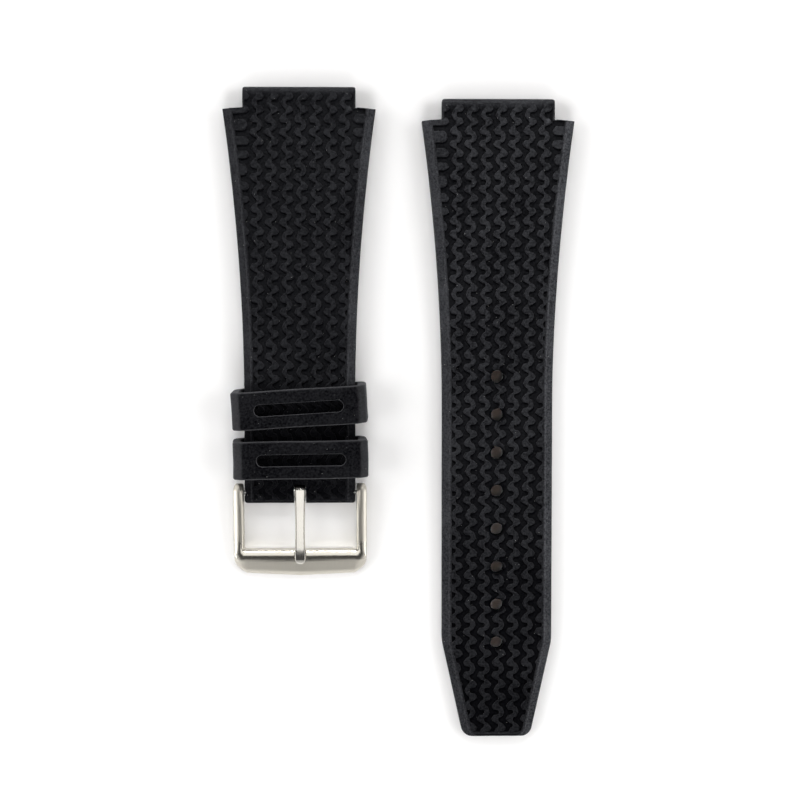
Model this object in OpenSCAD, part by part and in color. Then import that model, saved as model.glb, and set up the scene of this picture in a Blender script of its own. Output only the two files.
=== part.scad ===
// Moulded rubber watch strap in two halves, with a thorn buckle, a spring bar and two keepers.
// Millimetres, Z up. The lug ends point towards +Y and both halves lie tread side up.

/* [Strap] */
// Width of the tabs that fit between the lugs
lug_width = 21.8; // [20:0.1:23.8]
// Widest part of the strap, at the shoulders
shoulder_width = 29.6; // [28:0.2:31]
// Width of the strap at the buckle and along the tail
strap_width = 21.6; // [20:0.1:21.8]
// Thickness at the lugs
lug_thickness = 4.4; // [4.2:0.1:4.8]
// Thickness at the buckle
end_thickness = 3; // [2.8:0.1:3.1]
// Thickness along the tail
tail_thickness = 3.2; // [2.8:0.1:3.3]
// Thickness at the tip of the tail
tip_thickness = 3; // [2.4:0.1:3.2]
// Overall length of the tail half
tail_length = 125; // [118:1:130]
// Overall length of the buckle half
buckle_half_length = 80.7; // [79:0.1:83]
// Radius of the holes for the lug spring bars
lug_bore_radius = 1; // [0.8:0.05:1.2]

/* [Tread] */
// Depth of the grooves between the ribs
tread_depth = 0.5; // [0.4:0.1:0.8]
// Distance between neighbouring rib columns
rib_pitch = 2.84; // [2.8:0.01:3]
// Length of one full wave of a rib
wave_length = 8.7; // [8:0.1:9.4]

/* [Tang holes] */
// Number of holes in the tail
hole_count = 8; // [5:1:9]
// Distance from hole to hole
hole_pitch = 7.5; // [6.5:0.25:7.5]
// Diameter of each hole
hole_diameter = 2.55; // [2.2:0.05:3]
// Distance from the tip to the nearest hole
hole_from_tip = 18.6; // [16:0.1:22]

/* [Keepers] */
// Length of each keeper along the strap
keeper_length = 7.3; // [6:0.1:7.6]
// Thickness of a keeper's top and bottom strands
keeper_strand = 1.2; // [1:0.05:1.25]
// Thickness of a keeper's side walls
keeper_wall = 1.6; // [1.3:0.1:2]
// Clear height inside a keeper
keeper_inside_height = 6.4; // [6:0.1:7]
// Turn of the upper keeper on the strap in degrees
upper_keeper_turn = 3.5; // [0:0.5:3.5]
// Turn of the lower keeper on the strap in degrees
lower_keeper_turn = 0.9; // [0:0.1:1.2]

/* [Buckle] */
// Width of the buckle's arms
arm_width = 2; // [1.8:0.1:2.4]
// Distance from the bar's axis to the outer edge of the crossbar
buckle_reach = 16.6; // [16:0.1:17.5]
// Depth of the crossbar from its window edge to its outer edge
crossbar_depth = 5.3; // [4.8:0.1:5.6]
// Width of the tang
tang_width = 2; // [1.8:0.1:2.2]

/* [Hidden] */
// places
lane = 19.3;                       // each half's centre line lies this far from the middle
half_span = (tail_length + 2.2) / 2;
buckle_top = half_span;            // lug end of the buckle half
tail_top = half_span - 2.2;        // lug end of the tail half
tab_length = 4.1;
taper_length = 55;                 // shoulders narrow to the strap width over this length
bar_from_end = 2;                  // the bar's axis lies this far inside the strap's end
bar_y = buckle_top - buckle_half_length + bar_from_end;
bar_z = lug_thickness - end_thickness / 2;
// fits
bar_tube_radius = 0.9;
bar_bore_radius = 0.97;
tube_bore_radius = 0.6;
plunger_radius = 0.53;
tip_radius = 0.4;
arm_bore_radius = 0.46;
buckle_inside = strap_width + 0.44;
tang_notch = tang_width + 0.7;
tang_notch_reach = 1.7;            // the notch runs this far past the bar's axis
// borders of the tread
border = 1.75;
border_drop = 0.7;
ridge = 0.3;
bar_groove = 0.35;                 // the grooves are shallower over the buckle's bar
tread_offset = 0.65;               // the rib columns sit this far right of the centre line
wave_start = 5.3;                  // the first whole wave starts this far from a lug end
// keepers
keeper_inside = strap_width + 1.3;
keeper_outside = keeper_inside + 2 * keeper_wall;
keeper_height = keeper_inside_height + 2 * keeper_strand;
lower_keeper_y = bar_y + 6.9;
upper_keeper_y = lower_keeper_y + 10.1;

function ease(t) = let (u = min(1, max(0, t))) u * u * (3 - 2 * u);

// half width of the strap at distance d from its lug end
function shoulder_half(d) = let (s = min(1, max(0, (d - tab_length) / taper_length)))
    strap_width / 2 + (shoulder_width - strap_width) / 2 * pow(1 - s, 1.89);

// the tail narrows to its tip over the last 19 mm
tip_taper = 19;
tip_half = 6.6;
function tail_half(d) = let (t = (d - (tail_length - tip_taper)) / tip_taper)
    t <= 0 ? shoulder_half(d) : shoulder_half(d) + (tip_half - strap_width / 2) * t;

// heights of the top and the underside
function buckle_under(d) = (lug_thickness - end_thickness) * ease((d - 6) / 40);
function tail_over(d) = lug_thickness - (lug_thickness - tail_thickness) * ease((d - 6) / 54)
    - (tail_thickness - tip_thickness) * ease((d - 60) / (tail_length - 60));

// a station is [distance, half width, underside, top, border width, border drop, groove depth]
function lug_stations() = let (r = lug_thickness / 2, h = lug_width / 2) concat(
    [[0, h - 0.5, r - 0.45, r + 0.45, 0.6, 0.05, 0]],
    [for (a = [24, 38, 54]) [r * (1 - cos(a)), h - 0.5 + 0.5 * sin(a * 1.6), r - r * sin(a), r + r * sin(a), 0.6, 0.3 * sin(a), 0]],
    [[1.5, h, 0.1, lug_thickness - 0.12, 0.6, 0.35, 0],
     [1.56, h, 0.09, lug_thickness - 0.11, 0.6, 0.35, tread_depth],
     [lug_thickness / 2, h, 0, lug_thickness, 0.6, 0.35, tread_depth],
     [tab_length - 0.1, h, 0, lug_thickness, 0.6, 0.35, tread_depth]]);

function body_station(d, w, u, o) = [d, w, u, o, border, border_drop, tread_depth];

function buckle_stations() = let (l = buckle_half_length, r = end_thickness / 2, c = lug_thickness - r) concat(
    lug_stations(),
    [body_station(tab_length + 0.15, shoulder_half(tab_length), 0, lug_thickness)],
    [for (i = [2:1:26]) let (d = i * 2.8) body_station(d, shoulder_half(d), buckle_under(d), lug_thickness)],
    [[l - 6.4, strap_width / 2, c - r, c + r, border, border_drop, tread_depth],
     [l - 5, strap_width / 2, c - r, c + r, border, border_drop, bar_groove],
     [l - 1.2, strap_width / 2, c - r + 0.05, c + r, border, border_drop, bar_groove],
     [l - 1.14, strap_width / 2, c - r + 0.05, c + r, border, border_drop, 0],
     [l - 0.6, strap_width / 2 - 0.05, c - r + 0.2, c + r - 0.05, border, border_drop, 0],
     [l - 0.2, strap_width / 2 - 0.25, c - r + 0.5, c + r - 0.35, border, border_drop * 0.7, 0],
     [l, strap_width / 2 - 0.6, c - r + 0.9, c + r - 0.8, border, 0.3, 0]]);

function tail_stations() = let (l = tail_length) concat(
    lug_stations(),
    [body_station(tab_length + 0.15, shoulder_half(tab_length), 0, lug_thickness)],
    [for (i = [2:1:37]) let (d = i * 2.8) body_station(d, tail_half(d), 0, tail_over(d))],
    [for (d = [l - tip_taper, l - 14, l - 9, l - 5, l - 1.62]) body_station(d, tail_half(d), 0, tail_over(d))],
    [[l - 1.56, tail_half(l - 1.56), 0, tail_over(l), border, border_drop, 0],
     [l - 0.9, tail_half(l - 0.9) - 0.25, 0, tail_over(l) - 0.35, border, border_drop * 0.6, 0],
     [l - 0.35, tail_half(l) - 0.7, 0.1, tail_over(l) - 0.65, border, border_drop * 0.4, 0],
     [l, tail_half(l) - 1.5, 0.4, tail_over(l) - 1.1, border, 0.1, 0]]);

// twelve corners of the cross-section at a station
function ring(s) = let (w = s[1], u = s[2], o = s[3], b = s[4], e = s[5], g = s[6], k = min(0.35, (o - u) / 5)) [
    [-w + k, u], [w - k, u], [w, u + k], [w, o - e], [w - b, o], [w - b - ridge, o], [w - b - ridge - 0.1, o - g],
    [-w + b + ridge + 0.1, o - g], [-w + b + ridge, o], [-w + b, o], [-w, o - e], [-w, u + k]];

// closed body through a list of stations, running towards -Y from the lug end
module strap_loft(stations) {
    n = len(stations);
    k = 12;
    points = [for (s = stations) for (p = ring(s)) [p[0], -s[0], p[1]]];
    polyhedron(points = points, faces = concat(
        [[for (j = [0:k - 1]) j]],
        [for (i = [0:n - 2]) for (j = [0:k - 1]) each let (a = i * k + j, b = i * k + (j + 1) % k)
            [[a, a + k, b + k], [a, b + k, b]]],
        [[for (j = [k - 1:-1:0]) (n - 1) * k + j]]));
}

// corners of one rib wave, down its left side and down its right side
rib_left = [[-1.5, 0.95], [-1.1, 1.72], [-0.2, 1.95], [-0.25, 2.6], [-1.6, 3.5], [-0.25, 4.7], [-1.15, 6.5], [-0.3, 7.8]];
rib_right = [[-0.25, 0.5], [0.8, 2.2], [-0.25, 3.5], [-0.2, 4.2], [1.1, 5.3], [-0.25, 6.2], [-0.2, 7.05], [1.1, 7.9], [0.1, 8.6]];

// blocks between the outer ribs and the borders in each wave, as [start, length]
left_blocks = [[1.05, 2.15], [4.35, 1.65], [7.15, 1.45]];
right_blocks = [[0.1, 1.7], [2.8, 1.65], [5.45, 2.15]];

module rib(waves) {
    f = wave_length / 8.7;
    polygon(concat(
        [for (w = [0:waves - 1]) for (p = rib_left) [p[0], -w * wave_length - p[1] * f]],
        [for (w = [waves - 1:-1:0]) for (i = [len(rib_right) - 1:-1:0]) [rib_right[i][0], -w * wave_length - rib_right[i][1] * f]]));
}

// ribs and side blocks, standing from the groove floor to above the top
module tread_blanks(waves) {
    f = wave_length / 8.7;
    translate([tread_offset, wave_length - wave_start, 0]) {
        for (c = [-3:1:3]) translate([c * rib_pitch, 0, 0]) linear_extrude(lug_thickness + 1) rib(waves);
        for (w = [0:1:5]) {
            for (b = left_blocks) translate([-4 * rib_pitch - 3.2, -w * wave_length - (b[0] + b[1]) * f, 0]) cube([4, b[1] * f, lug_thickness + 1]);
            for (b = right_blocks) translate([4 * rib_pitch - 1.35, -w * wave_length - (b[0] + b[1]) * f, 0]) cube([4, b[1] * f, lug_thickness + 1]);
        }
    }
}

// outline of the tread field in plan, a touch wider than the grooves so that the ribs join the border
module field_plan(stations) {
    inner = [for (s = stations) if (s[6] > 0) [s[1] - s[4] - ridge + 0.1, -s[0]]];
    n = len(inner);
    polygon(concat(inner, [for (i = [n - 1:-1:0]) [-inner[i][0], inner[i][1]]]));
}

// side view of the tread, from just under the groove floor to the top
module tread_side(stations) {
    deep = [for (s = stations) if (s[6] > 0) s];
    n = len(deep);
    rotate([90, 0, 90]) translate([0, 0, -20]) linear_extrude(40)
        polygon(concat([for (s = deep) [-s[0], s[3] - 0.03]], [for (i = [n - 1:-1:0]) [-deep[i][0], deep[i][3] - tread_depth - 0.25]]));
}

module tread(stations, waves) {
    intersection() {
        tread_blanks(waves);
        linear_extrude(lug_thickness + 1) field_plan(stations);
        tread_side(stations);
    }
}

module cross_bore(r, length) {
    rotate([0, 90, 0]) cylinder(h = length, r = r, center = true, $fn = 48);
}

module buckle_side_strap() {
    s = buckle_stations();
    color([0.16, 0.16, 0.17]) difference() {
        translate([-lane, buckle_top, 0]) union() {
            strap_loft(s);
            tread(s, 10);
        }
        translate([-lane, buckle_top - lug_thickness / 2, lug_thickness / 2]) cross_bore(lug_bore_radius, lug_width + 2);
        translate([-lane, bar_y, bar_z]) cross_bore(bar_bore_radius, strap_width + 2);
        // notch for the tang's sleeve, open above and at the end, with a closed back below the bar
        translate([-lane, bar_y, bar_z]) side_view(tang_notch) polygon([[-tang_notch_reach, 5], [-tang_notch_reach, -0.5],
            [0.4 - tang_notch_reach, -1.15], [0.8 - tang_notch_reach, -1.5], [0.8 - tang_notch_reach, -5], [5, -5], [5, 5]]);
    }
}

module tail_side_strap() {
    s = tail_stations();
    color([0.16, 0.16, 0.17]) difference() {
        translate([lane, tail_top, 0]) union() {
            strap_loft(s);
            tread(s, 15);
        }
        translate([lane, tail_top - lug_thickness / 2, lug_thickness / 2]) cross_bore(lug_bore_radius, lug_width + 2);
        for (i = [0:1:hole_count - 1])
            translate([lane, tail_top - tail_length + hole_from_tip + i * hole_pitch, -1])
                cylinder(h = lug_thickness + 3, d = hole_diameter, $fn = 48);
    }
}

// rectangle w by h with round corners, centred on X and standing on Z = 0
module round_block(w, h, r, length) {
    rotate([90, 0, 0]) translate([0, 0, -length / 2]) linear_extrude(length) {
        translate([-w / 2 + r, 0]) square([w - 2 * r, h]);
        translate([-w / 2, r]) square([w, h - 2 * r]);
        for (x = [-w / 2 + r, w / 2 - r], z = [r, h - r]) translate([x, z]) circle(r = r, $fn = 48);
    }
}

module keeper() {
    slot = 17.5;
    slot_width = 2.35;
    color([0.11, 0.11, 0.12]) difference() {
        round_block(keeper_outside, keeper_height, 2.2, keeper_length);
        translate([0, 0, keeper_strand]) round_block(keeper_inside, keeper_inside_height, 0.9, keeper_length + 2);
        for (x = [-1, 1]) translate([x * (slot - slot_width) / 2, 0, keeper_height - keeper_strand - 0.5])
            cylinder(h = keeper_strand + 2, d = slot_width, $fn = 48);
        translate([-(slot - slot_width) / 2, -slot_width / 2, keeper_height - keeper_strand - 0.5])
            cube([slot - slot_width, slot_width, keeper_strand + 2]);
    }
}

module lower_keeper() {
    translate([-lane, lower_keeper_y, 0]) rotate([0, 0, lower_keeper_turn]) keeper();
}

module upper_keeper() {
    translate([-lane, upper_keeper_y, 0]) rotate([0, 0, upper_keeper_turn]) keeper();
}

// extrudes a side view, drawn as [distance from the bar towards the crossbar, height], across a width
module side_view(width) {
    rotate([90, 0, 90]) translate([0, 0, -width / 2]) linear_extrude(width) scale([-1, 1]) children();
}

module buckle_frame() {
    half = buckle_inside / 2;
    outer = half + arm_width;
    corner = 3.1;
    window = buckle_reach - crossbar_depth;
    ear = 1.8;
    crest = 3.3;
    color([0.72, 0.73, 0.74]) translate([-lane, bar_y, 0]) difference() {
        intersection() {
            // side view: round ears, sloping arms and a crowned crossbar
            union() {
                translate([0, 0, bar_z]) cross_bore(ear, 2 * outer + 2);
                side_view(2 * outer + 2) polygon([[-0.8, bar_z + ear - 0.45], [0.5, bar_z + ear - 0.05], [6, bar_z + ear - 0.35],
                    [window + 1.4, crest], [window + 2.7, crest - 0.2], [window + 3.9, crest - 0.7], [window + 4.8, crest - 1.45],
                    [buckle_reach, crest - 2.3], [buckle_reach, 0.5], [buckle_reach - 0.5, 0], [window + 0.3, 0], [6, 0.45],
                    [0.5, bar_z - ear + 0.05], [-0.8, bar_z - ear + 0.45]]);
            }
            // plan: round outer corners
            linear_extrude(10) union() {
                translate([-outer, -buckle_reach + corner]) square([2 * outer, buckle_reach - corner + ear + 1]);
                translate([-outer + corner, -buckle_reach]) square([2 * (outer - corner), corner + 1]);
                for (x = [-1, 1]) translate([x * (outer - corner), -buckle_reach + corner]) circle(r = corner, $fn = 64);
            }
        }
        // window between the arms
        translate([-half, -window, -1]) cube([2 * half, window + ear + 2, 10]);
        // bevel along the window's edge
        translate([0, -window, crest - 1.1]) rotate([45, 0, 0]) translate([-half, -0.1, 0]) cube([2 * half, 1.2, 1.2]);
        // rest for the tang
        translate([-tang_width / 2 - 0.2, -window - 3.4, crest - 0.35]) cube([tang_width + 0.4, 3.6, 2]);
        // long chamfers on the arms
        for (x = [-1, 1]) translate([x * outer, 0, bar_z + ear - 0.55]) rotate([4.2, 0, 0]) rotate([0, x * 45, 0])
            translate([-3, -buckle_reach - 2, 0]) cube([6, buckle_reach + 6, 3]);
        // holes for the spring bar's tips
        for (x = [-1, 1]) translate([x * (half + 0.6), 0, bar_z]) cross_bore(arm_bore_radius, 1.6);
    }
}

module buckle_tang() {
    sleeve = 1.4;
    window = buckle_reach - crossbar_depth;
    rest = 3.0;
    color([0.78, 0.79, 0.8]) translate([-lane, bar_y, 0]) difference() {
        union() {
            translate([0, 0, bar_z]) cross_bore(sleeve, tang_width + 0.2);
            side_view(tang_width) polygon([[-0.3, bar_z + sleeve - 0.04], [3, bar_z + sleeve + 0.05], [8, bar_z + sleeve + 0.12],
                [window + 1.2, rest + 1.3], [window + 2.3, rest + 1.05], [window + 2.8, rest + 0.55], [window + 2.7, rest + 0.05],
                [window - 0.4, rest + 0.02], [8, rest + 0.15], [2, bar_z + 0.2], [0.8, bar_z - 0.6]]);
        }
        translate([0, 0, bar_z]) cross_bore(bar_tube_radius + 0.06, tang_width + 2);
    }
}

tube_half = 8.7;
module spring_bar_tube() {
    color([0.6, 0.61, 0.63]) translate([-lane, bar_y, bar_z]) difference() {
        cross_bore(bar_tube_radius, 2 * tube_half);
        cross_bore(tube_bore_radius, 2 * tube_half + 2);
    }
}

// a plunger points towards +X: stem in the tube, collar, then the tip in the arm
module plunger() {
    collar = tube_half + 1.35;
    rotate([0, 90, 0]) {
        translate([0, 0, 5]) cylinder(h = collar - 5 + 0.1, r = plunger_radius, $fn = 32);
        translate([0, 0, collar]) cylinder(h = 0.4, r = 0.8, $fn = 32);
        translate([0, 0, collar + 0.3]) cylinder(h = 12.1 - collar - 0.3 + (strap_width - 21.6) / 2, r = tip_radius, $fn = 32);
    }
}

module spring_bar_left_plunger() {
    color([0.55, 0.56, 0.58]) translate([-lane, bar_y, bar_z]) mirror([1, 0, 0]) plunger();
}

module spring_bar_right_plunger() {
    color([0.55, 0.56, 0.58]) translate([-lane, bar_y, bar_z]) plunger();
}

// coil spring between the two stems, swept round the bar's axis
module spring_bar_spring() {
    turns = 9;
    steps = 12;
    sides = 6;
    coil = 0.42;
    wire = 0.11;
    reach = 4.85;
    rings = turns * steps;
    points = [for (i = [0:rings]) for (j = [0:sides - 1])
        let (a = 360 * i / steps, b = 360 * j / sides, r = coil + wire * cos(b))
        [-reach + wire + (2 * reach - 2 * wire) * i / rings + wire * sin(b), r * cos(a), r * sin(a)]];
    color([0.5, 0.51, 0.53]) translate([-lane, bar_y, bar_z])
        polyhedron(points = points, faces = concat(
            [[for (j = [sides - 1:-1:0]) j]],
            [for (i = [0:rings - 1]) for (j = [0:sides - 1]) each let (a = i * sides + j, b = i * sides + (j + 1) % sides)
                [[a, b, b + sides], [a, b + sides, a + sides]]],
            [[for (j = [0:sides - 1]) rings * sides + j]]));
}

buckle_side_strap();
tail_side_strap();
lower_keeper();
upper_keeper();
buckle_frame();
buckle_tang();
spring_bar_tube();
spring_bar_spring();
spring_bar_left_plunger();
spring_bar_right_plunger();
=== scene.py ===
import math

import bmesh
import bpy
import numpy as np
from mathutils import Matrix, Vector


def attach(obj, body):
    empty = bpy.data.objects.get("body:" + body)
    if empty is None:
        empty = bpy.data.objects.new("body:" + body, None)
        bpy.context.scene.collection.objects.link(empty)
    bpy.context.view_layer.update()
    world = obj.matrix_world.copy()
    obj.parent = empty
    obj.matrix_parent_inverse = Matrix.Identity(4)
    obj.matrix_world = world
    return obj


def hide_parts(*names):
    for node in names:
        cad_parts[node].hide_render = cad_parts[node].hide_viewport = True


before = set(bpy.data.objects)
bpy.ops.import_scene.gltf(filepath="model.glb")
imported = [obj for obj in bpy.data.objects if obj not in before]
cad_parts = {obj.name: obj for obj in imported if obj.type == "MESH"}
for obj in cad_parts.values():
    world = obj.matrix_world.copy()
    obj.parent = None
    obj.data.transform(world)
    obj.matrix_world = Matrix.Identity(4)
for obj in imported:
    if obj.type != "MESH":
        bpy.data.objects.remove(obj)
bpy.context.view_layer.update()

MM = 0.001

# ---------------------------------------------------------------- shared sizes, all in millimetres
LANE = 19.3
BUCKLE_TOP = 63.6
TAIL_TOP = 61.4
BUCKLE_LEN = 80.7
TAIL_LEN = 125.0
LUG_T = 4.4
END_T = 3.0
TAIL_T = 3.2
TIP_T = 3.0
LUG_W = 21.8
SHOULDER_W = 29.6
STRAP_W = 21.6
TAB = 4.1
TAPER = 55.0
TIP_HALF = 6.6
BAR_Y = BUCKLE_TOP - BUCKLE_LEN + 2.0
LOWER_Y = BAR_Y + 6.9
BAR_Z = LUG_T - END_T / 2
TREAD = 0.52                 # depth of the grooves
PITCH = 2.836                # between rib columns
WAVE = 8.66                  # one full wave of a rib
WAVE_START = 5.3             # first whole wave starts this far from the lug end
TREAD_SHIFT = 0.62           # rib columns sit this far right of the strap's centre line
NOSE = 1.3                   # the lug end is round over this length
SHOULDER_SLANT = 0.25


def ease(t):
    u = np.clip(t, 0.0, 1.0)
    return u * u * (3 - 2 * u)


def shoulder_half(d):
    s = np.clip((d - TAB) / TAPER, 0.0, 1.0)
    return STRAP_W / 2 + (SHOULDER_W - STRAP_W) / 2 * (1 - s) ** 1.89


def tail_half(d):
    t = (d - (TAIL_LEN - 19.0)) / 19.0
    # the change of direction where the tip starts is a soft one
    t = np.where(t < -0.06, 0.0, np.where(t > 0.06, t, (t + 0.06) ** 2 / 0.24))
    return shoulder_half(d) + (TIP_HALF - STRAP_W / 2) * t


def buckle_under(d):
    return (LUG_T - END_T) * ease((d - 6) / 40)


def tail_over(d):
    return LUG_T - (LUG_T - TAIL_T) * ease((d - 6) / 54) - (TAIL_T - TIP_T) * ease((d - 60) / (TAIL_LEN - 60))


def nose_drop(d):
    k = np.clip(NOSE - d, 0, NOSE) / NOSE
    return 1.75 * (1 - np.sqrt(np.maximum(1 - k * k, 0)))


# ---------------------------------------------------------------- tread: one wave of a rib, across and along in mm
RIB_RIGHT = [(-0.127, 0.065), (-0.241, 0.245), (-0.266, 0.49), (-0.184, 0.776), (0.061, 1.062), (0.43, 1.225),
             (0.61, 1.634), (0.8, 2.29), (0.55, 2.86), (0.266, 3.145), (-0.127, 3.284), (-0.282, 3.472),
             (-0.323, 3.76), (-0.225, 4.085), (-0.045, 4.33), (0.266, 4.41), (0.592, 4.66), (0.878, 4.98),
             (1.12, 5.31), (1.0, 5.64), (0.715, 5.964), (0.184, 6.03), (-0.127, 6.062), (-0.266, 6.25),
             (-0.323, 6.54), (-0.266, 6.863), (-0.061, 7.11), (0.266, 7.173), (0.592, 7.19), (0.8, 7.394),
             (1.0, 7.72), (1.1, 8.05), (0.878, 8.252), (0.511, 8.497), (0.184, 8.63)]
RIB_LEFT = [(-0.756, 0.025), (-1.042, 0.286), (-1.287, 0.613), (-1.507, 0.964), (-1.45, 1.225), (-1.287, 1.511),
            (-1.123, 1.691), (-0.715, 1.732), (-0.306, 1.814), (-0.159, 2.0), (-0.159, 2.328), (-0.225, 2.574),
            (-0.429, 2.737), (-0.715, 2.794), (-1.042, 2.819), (-1.246, 2.9), (-1.45, 3.227), (-1.63, 3.595),
            (-1.532, 3.84), (-1.205, 4.085), (-0.837, 4.33), (-0.429, 4.493), (-0.266, 4.616), (-0.225, 4.902),
            (-0.306, 5.188), (-0.511, 5.351), (-0.715, 5.474), (-0.837, 5.719), (-1.0, 6.087), (-1.123, 6.373),
            (-1.22, 6.618), (-1.042, 7.026), (-0.837, 7.353), (-0.633, 7.557), (-0.388, 7.72), (-0.306, 7.966),
            (-0.306, 8.252), (-0.347, 8.456)]
# side blocks fill the wide shoulders between the outer ribs and the borders
BLOCKS_LEFT = [[(-4, 1.0), (0.1, 1.05), (0.43, 1.225), (0.61, 1.634), (0.8, 2.29), (0.55, 2.86), (0.266, 3.145), (-0.1, 3.24), (-4, 3.24)],
               [(-4, 4.33), (0.266, 4.41), (0.592, 4.66), (0.878, 4.98), (1.12, 5.31), (1.0, 5.64), (0.715, 5.964), (0.184, 6.03), (-4, 6.05)],
               [(-4, 7.13), (0.592, 7.19), (0.8, 7.394), (1.0, 7.72), (1.1, 8.05), (0.878, 8.252), (0.511, 8.497), (0.1, 8.58), (-4, 8.58)]]
BLOCKS_RIGHT = [[(4, 0.05), (-0.75, 0.05), (-1.04, 0.29), (-1.287, 0.613), (-1.5, 0.96), (-1.45, 1.22), (-1.287, 1.51), (-1.12, 1.69), (-0.7, 1.76), (4, 1.8)],
                [(4, 2.75), (-0.7, 2.79), (-1.04, 2.82), (-1.25, 2.9), (-1.45, 3.23), (-1.63, 3.6), (-1.53, 3.84), (-1.2, 4.08), (-0.84, 4.33), (-0.4, 4.44), (4, 4.46)],
                [(4, 5.42), (-0.6, 5.45), (-0.8, 5.7), (-1.0, 6.09), (-1.22, 6.62), (-1.04, 7.03), (-0.84, 7.35), (-0.6, 7.56), (4, 7.62)]]

# border of the tread side: (distance in from the edge, height against the rib tops)
BORDER = [(0.0, -0.95), (0.02, -0.84), (0.06, -0.73), (0.12, -0.64), (0.2, -0.575), (0.3, -0.535), (0.42, -0.5), (0.85, -0.375),
          (1.2, -0.275), (1.25, -0.255), (1.29, -0.2), (1.33, -0.11), (1.38, -0.03), (1.45, 0.025), (1.54, 0.055), (1.63, 0.055),
          (1.72, 0.03), (1.79, -0.02), (1.84, -0.1), (1.88, -0.25)]
FIELD_IN = 1.74              # ribs reach under the bead by this distance from the edge
BORDER_IN = 1.93             # the groove floor starts here
TAB_BORDER = [(0.0, -0.42), (0.02, -0.33), (0.06, -0.22), (0.12, -0.12), (0.19, -0.05), (0.26, -0.015), (0.3, -0.06), (0.33, -0.2)]
TAB_FIELD = 0.27
TAB_IN = 0.36


def blend_min(a, b, k):
    h = np.clip(0.5 + 0.5 * (b - a) / k, 0, 1)
    return b * (1 - h) + a * h - k * h * (1 - h)


class Half:
    """Shape of one strap half in its own frame: x across, d from the lug end towards the other end."""

    def __init__(self, length, half, over, under, tail, seed):
        self.length, self.half, self.over, self.under, self.tail = length, half, over, under, tail
        self.squeeze = BORDER_IN / 0.95 if tail else BORDER_IN / 0.68     # the border is narrower round the end
        rng = np.random.default_rng(seed)
        self.waves = [(rng.uniform(0.05, 0.5), rng.uniform(-0.6, 0.6), rng.uniform(0, 6.28), rng.uniform(0.004, 0.012)) for _ in range(9)]
        self.bends = [(rng.uniform(0.8, 2.6), rng.uniform(-2.2, 2.2), rng.uniform(0, 6.28), rng.uniform(0.006, 0.014)) for _ in range(8)]
        self.bends_d = [(rng.uniform(0.8, 2.6), rng.uniform(-2.2, 2.2), rng.uniform(0, 6.28), rng.uniform(0.006, 0.014)) for _ in range(8)]

    def wobble(self, x, d):
        """Slight unevenness of a soft moulding."""
        return 0.6 * sum(h * np.sin(a * d + b * x * 0.8 + c) for a, b, c, h in self.waves)

    def shake(self, p):
        """Small irregularities of the ribs' outlines."""
        x, d = p[:, 0], p[:, 1]
        dx = sum(h * np.sin(a * d + b * x + c) for a, b, c, h in self.bends)
        dd = sum(h * np.sin(a * d + b * x + c) for a, b, c, h in self.bends_d)
        return np.column_stack([x + dx, d + dd])

    def outline(self, d):
        """Half width with the end's round corners."""
        w = self.half(d)
        r = 1.7 if self.tail else 0.6
        k = np.clip(d - (self.length - r), 0, r)
        return w - (r - np.sqrt(np.maximum(r * r - k * k, 0)))

    def depth(self, d):
        """Depth of the grooves: they fade in at the lug end and are shallower over the buckle's bar."""
        g = TREAD * ease((d - 1.0) / 1.6)
        if not self.tail:
            g = g - (TREAD - 0.35) * ease((d - (self.length - 6.4)) / 1.4)
        return g

    def border_height(self, x, d):
        side = self.outline(d) - np.abs(x)
        e = blend_min(side, (self.length - d) * self.squeeze, 0.35)
        e = np.minimum(e, side)
        es, zs = [p[0] for p in BORDER] + [BORDER_IN], [p[1] for p in BORDER] + [-9.0]
        z = np.interp(e, es[:-1], zs[:-1])
        g = self.depth(d)
        wall = np.clip((e - 1.84) / (BORDER_IN - 1.84), 0, 1)
        inner = -0.1 * (1 - wall) - g * wall
        return np.where(e > 1.84, inner, z)


def strap_body(shape):
    """Closed mesh of one half from its shoulders to its other end."""
    far = [shape.length - e / shape.squeeze for e, _ in BORDER if e > 0.01] + [shape.length - BORDER_IN / shape.squeeze, shape.length]
    rows = [TAB, TAB + 0.04, TAB + 0.1, TAB + 0.18, TAB + 0.3] + spaced(TAB + 0.9, min(far) - 1.0, 0.8) + [min(far) - 0.5] + sorted(far)
    if shape.tail:
        rows = sorted(set(rows + spaced(shape.length - 3.2, shape.length - 0.96, 0.2)))
    verts, ring = [], 0
    for d in rows:
        w = float(shape.outline(np.array(d)))
        inner = w - BORDER_IN
        right = [w - e for e, _ in BORDER] + [inner] + [inner * t for t in (0.75, 0.5, 0.25)]
        x = np.array([-v for v in right] + [0.0] + right[::-1])
        z = float(shape.over(np.array(d))) + shape.border_height(x, np.full(x.shape, float(d)))
        # the shoulder's front edge is a little round
        z = z - 0.22 * max(0.0, 1 - (d - TAB) / 0.18) ** 2
        under = float(shape.under(np.array(float(d))))
        end = max(0.0, d - (shape.length - 0.8)) / 0.8
        under = under + (0.35 if shape.tail else 0.75) * (1 - math.sqrt(max(1 - end * end, 0)))
        c = 0.35
        low = [(w, under + c + 0.05), (w - 0.1, under + 0.12), (w - c, under)]
        flat = [(v, under) for v in np.linspace(w - c, -(w - c), 7)[1:-1]]
        bottom = low + flat + [(-a, b) for a, b in low[::-1]]
        row = [(a, d, b) for a, b in zip(x, z)] + [(a, d, b) for a, b in bottom]
        ring = len(row)
        verts += row
    return loft_faces(verts, ring, len(rows))


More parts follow.
